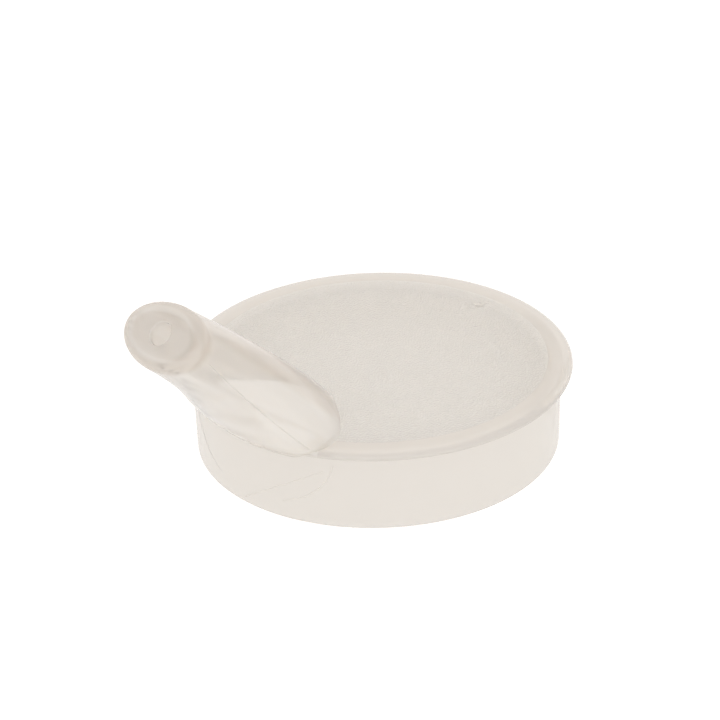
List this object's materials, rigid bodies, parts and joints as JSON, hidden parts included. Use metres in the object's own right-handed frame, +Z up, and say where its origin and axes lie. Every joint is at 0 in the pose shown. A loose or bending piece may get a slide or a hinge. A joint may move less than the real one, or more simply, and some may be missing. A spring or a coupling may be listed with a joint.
{
  "type": "spouted cup lid",
  "caption": "Round plug-in lid for a drinking cup, with a grained deck, an overhanging rim flange, a plain skirt and a hollow oval spout leaning out over the rim.",
  "frame": {"origin": "on the lid's axis, in the plane of the skirt's lower edge", "axes": "+Z up out of the deck; -X the way the spout leans; XZ is the plane of symmetry"},
  "size_m": [0.1007, 0.0792, 0.0499],
  "materials": {
    "grained_plastic": "natural milky translucent polypropylene, fine leather grain",
    "smooth_plastic": "natural milky translucent polypropylene, smooth satin"
  },
  "bodies": {
    "root": {"deck_plate": "grained_plastic", "rim_flange": "smooth_plastic", "plug_skirt": "smooth_plastic", "spout_shell": "smooth_plastic", "spout_tip": "smooth_plastic"}
  },
  "joints": []
}
